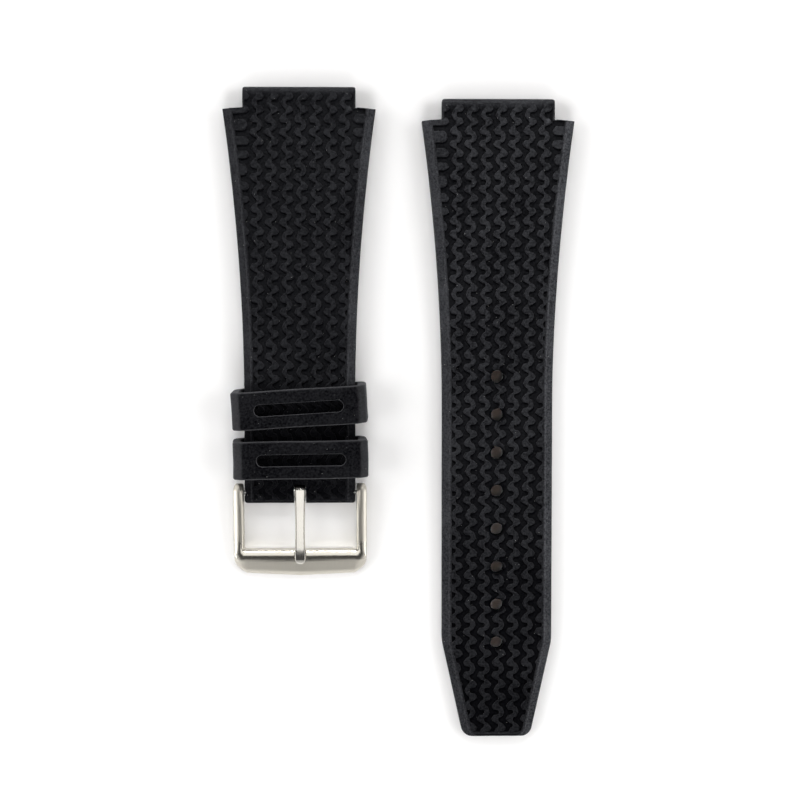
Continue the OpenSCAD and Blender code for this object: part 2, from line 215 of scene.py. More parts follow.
def strap_tab(shape):
    """Closed mesh of the tab at the lug end; it runs a little way into the body."""
    rows = [0.0, 0.015, 0.05, 0.11, 0.2, 0.31, 0.44, 0.6, 0.78, 0.95, 1.02, 1.1, 1.18, 1.28, 1.4, 1.52, 1.64, 1.8, 2.2, 2.7, 3.2, 3.7, TAB, TAB + 0.25]
    verts, ring = [], 0
    for d in rows:
        k = max(0.0, 0.45 - d)
        w = LUG_W / 2 - (0.45 - math.sqrt(max(0.2025 - k * k, 0)))
        g = float(shape.depth(np.array(d)))
        inner = w - TAB_IN
        fade = min(1.0, max(0.0, (d - 0.95) / 0.4))
        right = [(w - e, h * (1 if e < 0.28 else fade)) for e, h in TAB_BORDER] + [(inner, -g), (inner * 0.5, -g)]
        top = [(-a, b) for a, b in right] + [(0.0, -g)] + right[::-1]
        over = LUG_T - float(nose_drop(np.array(d)))
        under = 1.75 * (1 - math.sqrt(max(1 - (max(0.0, NOSE - d) / NOSE) ** 2, 0)))
        low = [(w, under + 0.4), (w - 0.1, under + 0.12), (w - 0.35, under)]
        flat = [(v, under) for v in np.linspace(w - 0.35, -(w - 0.35), 7)[1:-1]]
        bottom = low + flat + [(-a, b) for a, b in low[::-1]]
        row = [(a, d, over + b) for a, b in top] + [(a, d, b) for a, b in bottom]
        ring = len(row)
        verts += row
    return loft_faces(verts, ring, len(rows))


def loft_faces(verts, ring, n):
    faces = [tuple(range(ring - 1, -1, -1))]
    for i in range(n - 1):
        a = i * ring
        for j in range(ring):
            k = (j + 1) % ring
            faces.append((a + j, a + k, a + ring + k, a + ring + j))
    faces.append(tuple((n - 1) * ring + j for j in range(ring)))
    return verts, faces


def inset(p, amount):
    """Moves a closed outline, given anticlockwise, inwards."""
    e = np.roll(p, -1, 0) - p
    e = e / np.maximum(np.linalg.norm(e, axis=1, keepdims=True), 1e-9)
    before = np.roll(e, 1, 0)
    n1, n2 = np.column_stack([-before[:, 1], before[:, 0]]), np.column_stack([-e[:, 1], e[:, 0]])
    n = n1 + n2
    n = n / np.maximum(np.linalg.norm(n, axis=1, keepdims=True), 1e-6)
    reach = 1 / np.maximum((n * n1).sum(1), 0.72)
    return p + n * (amount * reach)[:, None]


# a rib's edge: (how far in from the outline, height against its top); the first two lie under the groove floor
RIB_EDGE = [(-0.05, None), (-0.045, 0.0), (-0.01, -0.11), (0.012, -0.055), (0.045, -0.018), (0.09, -0.003), (0.14, 0.0)]


def rib_solid(shape, outline):
    """Closed mesh of one rib or block with rounded edges, standing a little deeper than the groove floor."""
    p = np.array(outline, float)
    if (p[:, 0] * np.roll(p[:, 1], -1) - np.roll(p[:, 0], -1) * p[:, 1]).sum() < 0:
        p = p[::-1]
    p = shape.shake(p)
    verts, n = [], len(p)
    for i, (amount, dz) in enumerate(RIB_EDGE):
        q = inset(p, amount)
        top = shape.over(q[:, 1]) - nose_drop(q[:, 1])
        g = np.maximum(shape.depth(q[:, 1]), 0.02)
        if i == 0:
            z = top - g - 0.2
        elif i == 1:
            z = top - g
        else:
            z = top + dz * np.clip(g / TREAD, 0.1, 1.0)
        verts += [(a, b, c) for (a, b), c in zip(q, z)]
    faces = [tuple(range(n - 1, -1, -1))]
    for i in range(len(RIB_EDGE) - 1):
        for j in range(n):
            k = (j + 1) % n
            faces.append((i * n + j, i * n + k, (i + 1) * n + k, (i + 1) * n + j))
    faces.append(tuple((len(RIB_EDGE) - 1) * n + j for j in range(n)))
    return verts, faces


def field_outline(shape):
    """Plan of the tread: the tab, then the body inside its borders."""
    t = LUG_W / 2 - TAB_FIELD
    right = [(t, 0.98), (t, TAB + 0.03)]
    end = shape.length - FIELD_IN / shape.squeeze
    ds = [TAB + 0.03] + spaced(TAB + 1.0, end - 2.4, 0.9) + spaced(end - 2.2, end, 0.15)
    right += [(float(shape.outline(np.array(d))) - FIELD_IN, d) for d in ds]
    # the bead turns the corner at the end
    cut = []
    for x, d in right:
        e_end = (shape.length - d) * shape.squeeze
        k = 0.35
        lack = max(0.0, 1 - (e_end - FIELD_IN) / (k * 2)) if e_end < FIELD_IN + 2 * k else 0.0
        cut.append((x - 0.35 * lack ** 2, d))
    return cut + [(-x, d) for x, d in cut[::-1]]


def tread_solids(shape):
    verts, faces = [], []

    def add(v, f):
        base = len(verts)
        verts.extend(v)
        faces.extend(tuple(i + base for i in g) for g in f)

    waves = int((shape.length - WAVE_START) / WAVE) + 2
    for k in range(-3, 4):
        left = [(x, y + m * WAVE) for m in range(-1, waves) for x, y in RIB_LEFT]
        right = [(x, y + m * WAVE) for m in range(-1, waves) for x, y in RIB_RIGHT]
        low, high = -3.0, shape.length + 1.0 - WAVE_START
        left = [q for q in left if low - WAVE_START < q[1] < high]
        right = [q for q in right if low - WAVE_START < q[1] < high]
        add(*rib_solid(shape, [(x + k * PITCH + TREAD_SHIFT, y + WAVE_START) for x, y in left + right[::-1]]))
    for side, blocks in ((-4, BLOCKS_LEFT), (4, BLOCKS_RIGHT)):
        for m in range(-1, 6):
            for b in blocks:
                add(*rib_solid(shape, [(x + side * PITCH + TREAD_SHIFT, y + m * WAVE + WAVE_START) for x, y in b]))
    return verts, faces


def make_object(name, verts, faces):
    mesh = bpy.data.meshes.new(name)
    mesh.from_pydata([(x * MM, y * MM, z * MM) for x, y, z in verts], [], faces)
    mesh.validate()
    bm = bmesh.new()
    bm.from_mesh(mesh)
    bmesh.ops.recalc_face_normals(bm, faces=bm.faces)
    bm.to_mesh(mesh)
    bm.free()
    o = bpy.data.objects.new(name, mesh)
    bpy.context.scene.collection.objects.link(o)
    return o


def boolean(target, others, how):
    for other in others:
        m = target.modifiers.new("cut", "BOOLEAN")
        m.operation = how
        m.solver = "MANIFOLD"
        m.object = other
        bpy.context.view_layer.update()
        graph = bpy.context.evaluated_depsgraph_get()
        mesh = bpy.data.meshes.new_from_object(target.evaluated_get(graph))
        target.modifiers.clear()
        old = target.data
        target.data = mesh
        bpy.data.meshes.remove(old)
        bpy.data.objects.remove(other, do_unlink=True)
    return target


def shade(o, degrees):
    """Smooth surfaces with sharp edges kept where faces meet at more than an angle."""
    bm = bmesh.new()
    bm.from_mesh(o.data)
    bmesh.ops.remove_doubles(bm, verts=bm.verts, dist=1e-8)
    bmesh.ops.dissolve_degenerate(bm, edges=bm.edges, dist=1e-8)
    limit = math.radians(degrees)
    for f in bm.faces:
        f.smooth = True
    for e in bm.edges:
        e.smooth = len(e.link_faces) == 2 and e.calc_face_angle(0.0) < limit
    bm.to_mesh(o.data)
    bm.free()


def lathe(name, profile, axis, centre, steps=64):
    """Solid of revolution from (radius, place along the axis) pairs; the first and last radius may be 0."""
    verts, faces = [], []
    n = len(profile)
    for i in range(steps):
        a = 2 * math.pi * i / steps
        for r, t in profile:
            p = [r * math.cos(a), r * math.sin(a)]
            if axis == "x":
                v = (t, p[0], p[1])
            elif axis == "y":
                v = (p[0], t, p[1])
            else:
                v = (p[0], p[1], t)
            verts.append(tuple(v[k] + centre[k] for k in range(3)))
    for i in range(steps):
        a, b = i * n, ((i + 1) % steps) * n
        for j in range(n - 1):
            faces.append((a + j, b + j, b + j + 1, a + j + 1))
    if profile[0][0] > 0:
        faces.append(tuple(i * n for i in range(steps)))
        faces.append(tuple(i * n + n - 1 for i in range(steps - 1, -1, -1)))
    o = make_object(name, verts, faces)
    bm = bmesh.new()
    bm.from_mesh(o.data)
    bmesh.ops.remove_doubles(bm, verts=bm.verts, dist=1e-7)
    bmesh.ops.recalc_face_normals(bm, faces=bm.faces)
    bm.to_mesh(o.data)
    bm.free()
    return o


def box_object(name, low, high, round_off=0.0):
    v = [(x, y, z) for x in (low[0], high[0]) for y in (low[1], high[1]) for z in (low[2], high[2])]
    f = [(0, 1, 3, 2), (4, 6, 7, 5), (0, 4, 5, 1), (2, 3, 7, 6), (0, 2, 6, 4), (1, 5, 7, 3)]
    o = make_object(name, v, f)
    if round_off:
        bm = bmesh.new()
        bm.from_mesh(o.data)
        bmesh.ops.bevel(bm, geom=bm.edges[:], offset=round_off * MM, segments=3, affect="EDGES", profile=0.5)
        bm.to_mesh(o.data)
        bm.free()
    return o


def prism_x(name, points, half):
    """Solid with a side view given as (along, height) points, reaching half to each side across."""
    n = len(points)
    v = [(x, y, z) for x in (-half, half) for y, z in points]
    f = [tuple(range(n - 1, -1, -1)), tuple(range(n, 2 * n))] + [(j, (j + 1) % n, n + (j + 1) % n, n + j) for j in range(n)]
    return make_object(name, v, f)


def spaced(a, b, step):
    n = max(1, int(round((b - a) / step)))
    return list(np.linspace(a, b, n + 1))


def strap(name, shape, lane, top, cutters):
    body = make_object(name, *strap_body(shape))
    tab = make_object(name + "_tab", *strap_tab(shape))
    boolean(body, [tab], "UNION")
    tread = make_object(name + "_tread", *tread_solids(shape))
    plan = field_outline(shape)
    n = len(plan)
    prism = [(x, d, z) for z in (0.5, 7.0) for x, d in plan]
    faces = [tuple(range(n - 1, -1, -1)), tuple(range(n, 2 * n))] + [(j, (j + 1) % n, n + (j + 1) % n, n + j) for j in range(n)]
    boolean(tread, [make_object("field", prism, faces)], "INTERSECT")
    boolean(body, [tread], "UNION")
    boolean(body, cutters(shape), "DIFFERENCE")
    co = np.zeros(len(body.data.vertices) * 3)
    body.data.vertices.foreach_get("co", co)
    co = co.reshape(-1, 3)
    x, d = co[:, 0] / MM, co[:, 1] / MM
    slant = SHOULDER_SLANT * ease((np.abs(x) - LUG_W / 2 + 0.2) / 4.4) * ease((11.0 - d) / 7.0) * (d > TAB - 0.01)
    co[:, 2] += shape.wobble(x, d) * MM * np.clip(co[:, 2] / MM / LUG_T, 0, 1)
    co[:, 1] = (top - d - slant) * MM
    co[:, 0] += lane * MM
    body.data.vertices.foreach_set("co", co.reshape(-1))
    body.data.flip_normals()
    shade(body, 48)
    co = np.zeros(len(body.data.vertices) * 3)
    body.data.vertices.foreach_get("co", co)
    co = co.reshape(-1, 3)
    x, d, z = co[:, 0] / MM - lane, top - co[:, 1] / MM, co[:, 2] / MM
    over = shape.over(d)
    w = np.where(d < TAB + 0.1, LUG_W / 2, shape.outline(d))
    field = (np.abs(x) < w - np.where(d < TAB + 0.1, 0.3, 1.85)) & (z > over - 1.0)
    # painted shade: the "groove" value is 0 on the rib tops and 1 on the groove floors, and darkens the sheen there
    groove = np.where(field, np.clip((over - 0.12 - z) / (TREAD - 0.2), 0, 1), 0.0)
    # painted shade: the tread is darkened towards the tip, and on the buckle half the strap is darkened under and
    # between the keepers, where they shade it
    if shape.tail:
        groove += np.where(field, 0.4 * ease((d - 60) / 55) * (1 - 0.3 * groove), 0.0)
        # painted shade on the walls and rims of the tang holes
        for i in range(8):
            groove = np.maximum(groove, 1.5 * (1 - ease((np.hypot(x, d - (TAIL_LEN - 18.6 - 7.5 * i)) - 1.36) / 0.2)))
    else:
        y = co[:, 1] / MM
        # painted shade under and between the keepers
        groove += ease((y - LOWER_Y + 4.8) / 1.5) * ease((LOWER_Y + 15.2 - y) / 1.5) * (1.2 - 0.75 * groove)
    layer = body.data.attributes.new("groove", "FLOAT", "POINT")
    layer.data.foreach_set("value", groove.astype(np.float32))
    # painted highlight: the border, one side more than the other, and the round of the lug end get a raised sheen so
    # they look lit
    side = w - np.abs(x)
    border = (1.0 - ease((side - 1.5) / 0.25)) * np.where(x > 0, 1.3, 0.5) + 0.25 * np.exp(-((side - 1.5) / 0.2) ** 2)
    painted_highlight = np.where((d > TAB) & (z > over - 0.75), border, 0.0)
    painted_highlight = np.maximum(painted_highlight, np.where(z > LUG_T / 2, 1.6 - 1.6 * ease(d / 0.95), 0.0))
    layer = body.data.attributes.new("painted_highlight", "FLOAT", "POINT")
    layer.data.foreach_set("value", painted_highlight.astype(np.float32))
    return body


def buckle_cutters(shape):
    return [lathe("bore_a", [(1.0, -14), (1.0, 14)], "x", (0, 2.2, 2.2)),
            lathe("bore_b", [(0.97, -14), (0.97, 14)], "x", (0, BUCKLE_LEN - 2.0, BAR_Z)),
            prism_x("notch", [(c + BUCKLE_LEN - 2.0, h + BAR_Z) for c, h in
                              [(-1.65, 5), (-1.65, -0.5), (-1.3, -1.12), (-0.9, -1.5), (-0.9, -5), (5, -5), (5, 5)]], 1.2)]


def tail_cutters(shape):
    cut = [lathe("bore_a", [(1.0, -14), (1.0, 14)], "x", (0, 2.2, 2.2))]
    for i in range(8):
        d = TAIL_LEN - 18.6 - 7.5 * i
        t = float(shape.over(np.array(d)))
        cut.append(lathe(f"hole_{i}", [(1.275, -2), (1.275, t - 0.1), (1.3, t - 0.03), (1.34, t + 0.02), (1.4, t + 2)], "z", (0, d, 0)))
    return cut


buckle_shape = Half(BUCKLE_LEN, shoulder_half, lambda d: np.full_like(np.asarray(d, float), LUG_T), buckle_under, False, 3)
tail_shape = Half(TAIL_LEN, tail_half, tail_over, lambda d: np.zeros_like(np.asarray(d, float)), True, 8)

buckle_strap = strap("strap_buckle_half", buckle_shape, -LANE, BUCKLE_TOP, buckle_cutters)
tail_strap = strap("strap_tail_half", tail_shape, LANE, TAIL_TOP, tail_cutters)

# ---------------------------------------------------------------- keepers


def rounded_rect(w, h, r, per_corner, per_side):
    """Points and outward normals round a rectangle with round corners, centred on x, standing on z = 0."""
    pts = []
    corners = [(w / 2 - r, h - r, 0), (-w / 2 + r, h - r, 90), (-w / 2 + r, r, 180), (w / 2 - r, r, 270)]
    for i, (cx, cz, a0) in enumerate(corners):
        for j in range(per_corner + 1):
            a = math.radians(a0 + 90 * j / per_corner)
            pts.append((cx + r * math.cos(a), cz + r * math.sin(a), math.cos(a), math.sin(a)))
        nx, nz, na = corners[(i + 1) % 4]
        a = math.radians(a0 + 90)
        ex, ez = cx + r * math.cos(a), cz + r * math.sin(a)
        a2 = math.radians(na)
        fx, fz = nx + r * math.cos(a2), nz + r * math.sin(a2)
        for j in range(1, per_side):
            t = j / per_side
            pts.append((ex + (fx - ex) * t, ez + (fz - ez) * t, math.cos(a), math.sin(a)))
    return pts


KEEPER_IN_W, KEEPER_IN_H, STRAND, WALL, KEEPER_L = 22.9, 6.4, 1.2, 1.6, 7.3
KEEPER_W, KEEPER_H = KEEPER_IN_W + 2 * WALL, KEEPER_IN_H + 2 * STRAND
# shoulder of a keeper: (distance out from where its flat top ends, slope in degrees)
SHOULDER = [(0.0, 0), (0.18, 14), (0.38, 27), (0.65, 33.5), (1.0, 36), (1.3, 37), (1.6, 38), (1.7, 43), (1.8, 48), (1.87, 55),
            (1.93, 62), (1.97, 68), (2.0, 75), (2.03, 82), (2.05, 90)]


def keeper_outline(per_side):
    pts = rounded_rect(KEEPER_W, KEEPER_H, 2.2, len(SHOULDER) - 1, per_side)
    x0, z, curve = KEEPER_W / 2 - SHOULDER[-1][0], KEEPER_H, []
    for i, (dx, a) in enumerate(SHOULDER):
        if i:
            z -= (dx - SHOULDER[i - 1][0]) * math.tan(math.radians(min(85.0, (a + SHOULDER[i - 1][1]) / 2)))
        curve.append((x0 + dx, z, math.sin(math.radians(a)), math.cos(math.radians(a))))
    n = len(SHOULDER)
    top = [(curve[0][0] + (-2 * curve[0][0]) * j / per_side, KEEPER_H, 0.0, 1.0) for j in range(1, per_side)]
    low = pts[2 * (n + per_side - 1):]
    left = [(-x, z, -nx, nz) for x, z, nx, nz in curve]
    wall = lambda x, za, zb, nx: [(x, za + (zb - za) * j / per_side, nx, 0.0) for j in range(1, per_side)]
    bottom, right_wall = low[:-(per_side - 1)], low[-(per_side - 1):]
    return (curve[::-1] + top + left + wall(-KEEPER_W / 2, left[-1][1], 2.2, -1.0) + bottom
            + wall(KEEPER_W / 2, 2.2, curve[-1][1], 1.0))


def keeper(name, centre_y, turn, lean, shift, side, seed):
    """One loop; lean and side are how far its top strand sits behind and beside its middle."""
    rng = np.random.default_rng(seed)
    outer = keeper_outline(18)
    inner = rounded_rect(KEEPER_IN_W, KEEPER_IN_H, 0.9, 14, 18)
    ro, ri, hl = 0.42, 0.22, KEEPER_L / 2
    section = []                                    # (which loop, how far in from it, y)
    for y in np.linspace(-hl + ro, hl - ro, 9):
        section.append(("o", 0.0, y))
    for a in (18, 36, 54, 72, 90):
        a = math.radians(a)
        section.append(("o", ro * (1 - math.cos(a)), hl - ro + ro * math.sin(a)))
    for a in (90, 60, 30, 0):
        a = math.radians(a)
        section.append(("i", ri * (1 - math.cos(a)), hl - ri + ri * math.sin(a)))
    for y in np.linspace(hl - ri, -hl + ri, 5)[1:]:
        section.append(("i", 0.0, y))
    for a in (30, 60, 90):
        a = math.radians(a)
        section.append(("i", ri * (1 - math.cos(a)), -hl + ri - ri * math.sin(a)))
    for a in (90, 72, 54, 36, 18):
        a = math.radians(a)
        section.append(("o", ro * (1 - math.cos(a)), -hl + ro - ro * math.sin(a)))
    ph = rng.uniform(0, 6.28, 4)
    verts, faces = [], []
    n, m = len(outer), len(section)
    for i in range(n):
        for loop, depth, y in section:
            if loop == "o":
                x, z, nx, nz = outer[i]
                x, z = x - nx * depth, z - nz * depth
            else:
                x, z, nx, nz = inner[i]
                x, z = x + nx * depth, z + STRAND + nz * depth
            if z > KEEPER_H / 2:
                # the top strand sags a touch in the middle and is not quite true
                z -= 0.1 * math.cos(math.pi * x / KEEPER_W) * (z > KEEPER_H - STRAND - 0.1) * 0.6
            x += 0.03 * math.sin(0.9 * y + ph[0] + z * 0.3) + shift + side * (2 * z / KEEPER_H - 1)
            verts.append((x, y + 0.04 * math.sin(0.35 * x + ph[1]) + lean * (0.5 - z / KEEPER_H), z))
    for i in range(n):
        a, b = i * m, ((i + 1) % n) * m
        for j in range(m):
            k = (j + 1) % m
            faces.append((a + j, a + k, b + k, b + j))
    o = make_object(name, verts, faces)
    # slot through the top strand, with a soft rim
    levels = [(-0.9, 0.0), (-0.07, 0.0), (-0.03, 0.02), (0.0, 0.06), (0.5, 0.3)]
    half, r = 17.2 / 2, 2.3 / 2
    sv, sf, steps = [], [], 48
    for dz, grow in levels:
        for i in range(steps):
            a = 2 * math.pi * (i + 0.5) / steps
            cx = half - r if math.cos(a) > 0 else -(half - r)
            sv.append((cx + shift + side + (r + grow) * math.cos(a), (r + grow) * math.sin(a) - 0.5 * lean, KEEPER_H - 0.06 + dz - (0.6 if dz < -0.5 else 0)))
    for k in range(len(levels) - 1):
        for i in range(steps):
            j = (i + 1) % steps
            sf.append((k * steps + i, k * steps + j, (k + 1) * steps + j, (k + 1) * steps + i))
    sf.append(tuple(range(steps - 1, -1, -1)))
    sf.append(tuple((len(levels) - 1) * steps + i for i in range(steps)))
    boolean(o, [make_object("slot", sv, sf)], "DIFFERENCE")
    a = math.radians(turn)
    for v in o.data.vertices:
        x, y = v.co.x, v.co.y
        v.co.x = x * math.cos(a) - y * math.sin(a) - LANE * MM
        v.co.y = x * math.sin(a) + y * math.cos(a) + centre_y * MM
    shade(o, 40)
    return o


lower_keeper = keeper("keeper_lower", LOWER_Y, 0.9, 0.4, 0.1, 0.3, 4)
upper_keeper = keeper("keeper_upper", LOWER_Y + 10.1, 3.5, 0.6, 0.04, -0.1, 9)

# ---------------------------------------------------------------- buckle frame, around the bar's axis: x across, u towards the crossbar
HALF = (STRAP_W + 0.44) / 2
ARM = 2.0
REACH = 16.6
CROSS = 5.3
WINDOW = REACH - CROSS
EAR = 1.8
OUT = HALF + ARM
# the outer corners are a quarter of an ellipse: half width and half height
CORNER_X, CORNER_U = 5.0, 3.75


def frame_top(u):
    if u <= 0:
        return BAR_Z + math.sqrt(max(EAR * EAR - u * u, 0))
    return BAR_Z + EAR - 1.4 * float(ease(np.array(u / 11.8)))


def frame_under(u):
    if u <= 0:
        return BAR_Z - math.sqrt(max(EAR * EAR - u * u, 0))
    t = min(1.0, u / 11.0)
    return (BAR_Z - EAR) * (1 - t) ** 1.3 + 0.02


def outer_hit(cx, cu, a):
    """Where a ray from the inner corner's centre meets the frame's outline."""
    dx, du = math.cos(a), math.sin(a)
    best = 1e9
    if dx > 1e-9:
        t = (OUT - cx) / dx
        if cu + t * du <= REACH - CORNER_U + 1e-9:
            best = min(best, t)
    if du > 1e-9:
        t = (REACH - cu) / du
        if cx + t * dx <= OUT - CORNER_X + 1e-9:
            best = min(best, t)
    if best > 1e8:
        px, pu = (cx - OUT) / CORNER_X + 1, (cu - REACH) / CORNER_U + 1
        vx, vu = dx / CORNER_X, du / CORNER_U
        a2, b, c = vx * vx + vu * vu, px * vx + pu * vu, px * px + pu * pu - 1
        best = (-b + math.sqrt(max(b * b - a2 * c, 0))) / a2
    return cx + best * dx, cu + best * du


def frame_stations():
    """Half of the frame, from the right ear round to the middle of the crossbar: (inner point, lip's outer point, outer point, share of crossbar)."""
    out = []
    rin = 0.5
    cx, cu = HALF - rin, WINDOW - rin
    us = [-EAR * math.cos(math.radians(a)) for a in (8, 20, 32, 44, 56, 68, 80)] + spaced(0.0, cu, 0.45)
    for u in us:
        k = max(0.0, -u - 0.3) / (EAR - 0.3)
        trim = 0.75 * (1 - math.sqrt(max(1 - k * k, 0)))
        trim_in = 0.3 * (1 - math.sqrt(max(1 - k * k, 0)))
        flare = 0.0
        out.append(((HALF + trim_in, u), (OUT - trim - flare, u), (OUT - trim - flare, u), 0.0))
    for i in range(1, 25):
        a = math.radians(90 * i / 25)
        ip = (cx + rin * math.cos(a), cu + rin * math.sin(a))
        lip = rin + 2.0
        ox, ou = outer_hit(cx, cu, a)
        reach = math.hypot(ox - cx, ou - cu)
        lr = min(lip + 0.03 + 0.45 * math.sin(2 * a), reach)
        share = float(ease(np.array((i / 25 - 0.08) / 0.8)))
        out.append((ip, (cx + lr * math.cos(a), cu + lr * math.sin(a)), (ox, ou), share))
    for x in spaced(cx, 0.0, 0.4):
        k = max(0.0, (x - OUT) / CORNER_X + 1)
        out.append(((x, WINDOW), (x, WINDOW + 2.0), (x, REACH - CORNER_U * (1 - math.sqrt(1 - k * k))), 1.0))
    return out


# profile across the frame: (share of the way across the 2 mm lip, drop below its top), round the crest and then by its slope
def lip_profile(start, slopes):
    out, (t0, drop), a0 = list(start), start[-1], 0.0
    for t, a in slopes:
        drop += 2.0 * (t - t0) * math.tan(math.radians((a0 + a) / 2))
        out.append((t, drop))
        t0, a0 = t, a
    return out


ARM_LIP = lip_profile([(0.0, 0.6), (0.02, 0.42), (0.07, 0.24), (0.13, 0.1), (0.19, 0.02), (0.25, 0.0)],
                      [(0.33, 6), (0.4, 15), (0.48, 20), (0.56, 24.4), (0.63, 28), (0.72, 33), (0.82, 38), (0.91, 43), (0.97, 60), (1.0, 82)])
CROSS_LIP = lip_profile([(0.0, 0.5), (0.01, 0.37), (0.035, 0.25), (0.07, 0.15), (0.115, 0.07), (0.165, 0.02), (0.22, 0.0), (0.42, 0.0)],
                        [(0.46, 2), (0.51, 5.5), (0.57, 10), (0.64, 14), (0.72, 17), (0.81, 20), (0.9, 22.3), (1.0, 24)])
# the crossbar's sloping face: (share of the way across, drop), then round down to the outer wall
FACE = [(0.15, 0.22), (0.3, 0.44), (0.45, 0.67), (0.6, 0.89)]
for angle in (34, 44, 54, 64, 73, 82, 90):
    q = math.radians(angle)
    q0 = math.radians(24)
    FACE.append((0.6 + 0.4 * (math.sin(q) - math.sin(q0)) / (1 - math.sin(q0)), 0.89 + 1.6 * (math.cos(q0) - math.cos(q)) / math.cos(q0)))


def frame_ring(s):
    (ix, iu), (lx, lu), (ox, ou), share = s

    def between(p, q, t):
        return p[0] + (q[0] - p[0]) * t, p[1] + (q[1] - p[1]) * t

    ring = []
    ti = frame_top(iu)
    lo = frame_under(iu)
    f = min(1.0, max(0.05, ti - lo) / 2.6)
    # the crest is a little lower where the tang rests on it
    saddle = 0.2 * float(ease(np.array((2.9 - abs(ix)) / 1.9))) * share
    ring.append((ix, iu, lo + 0.25 * f))
    ring.append((ix, iu, ti - 1.15 * f))
    for (ta, za), (tc, zc) in zip(ARM_LIP, CROSS_LIP):
        t = ta + (tc - ta) * share
        drop = (za + (zc - za) * share) * f
        x, u = between((ix, iu), (lx, lu), t)
        ring.append((x, u, (frame_top(u) if iu > 0 else ti) - drop - saddle * (1 - 0.8 * max(0.0, t - 0.5) / 0.5)))
    start = ring[-1][2]
    for t, drop in FACE:
        x, u = between((lx, lu), (ox, ou), t)
        ring.append((x, u, start - drop * (0.24 + 0.76 * share) * f + 0.04 * share * t))
    # outer wall and underside
    low_out = frame_under(ou) if iu > 0 else lo
    ring.append((ox, ou, low_out + 0.42 * f))
    x, u = between((ox, ou), (ix, iu), 0.06)
    ring.append((x, u, low_out + 0.12 * f))
    x, u = between((ox, ou), (ix, iu), 0.16)
    ring.append((x, u, low_out))
    x, u = between((ix, iu), (ox, ou), 0.1)
    ring.append((x, u, lo))
    return ring


def buckle_frame_mesh():
    half = frame_stations()
    rings = [frame_ring(s) for s in half]
    other = [[(-x, u, z) for x, u, z in r] for r in rings[:-1]][::-1]
    rings = rings + other
    n, m = len(rings), len(rings[0])
    verts = [(x - LANE, BAR_Y - u, z) for r in rings for x, u, z in r]
    faces = [tuple(range(m - 1, -1, -1))]
    for i in range(n - 1):
        for j in range(m):
            k = (j + 1) % m
            faces.append((i * m + j, i * m + k, (i + 1) * m + k, (i + 1) * m + j))
    faces.append(tuple((n - 1) * m + j for j in range(m)))
    o = make_object("buckle_frame_steel", verts, faces)
    rest = box_object("rest", (-1.2 - LANE, BAR_Y - WINDOW - 3.6, 2.93), (1.2 - LANE, BAR_Y - WINDOW + 0.6, 6), 0.3)
    cut = [rest]
    for side in (-1, 1):
        cut.append(lathe("tip_hole", [(0.46, -0.8), (0.46, 0.8)], "x", (side * (HALF + 0.6) - LANE, BAR_Y, BAR_Z), 32))
    boolean(o, cut, "DIFFERENCE")
    shade(o, 35)
    co = np.array([v.co[:] for v in o.data.vertices])
    u = BAR_Y - co[:, 1] / MM
    face = ease((u - (WINDOW + 1.7)) / 0.5) + 0.75 * ease((WINDOW - 0.6 - u) / 2.0)
    layer = o.data.attributes.new("face", "FLOAT", "POINT")
    layer.data.foreach_set("value", face.astype(np.float32))
    return o


buckle_frame = buckle_frame_mesh()

# ---------------------------------------------------------------- tang


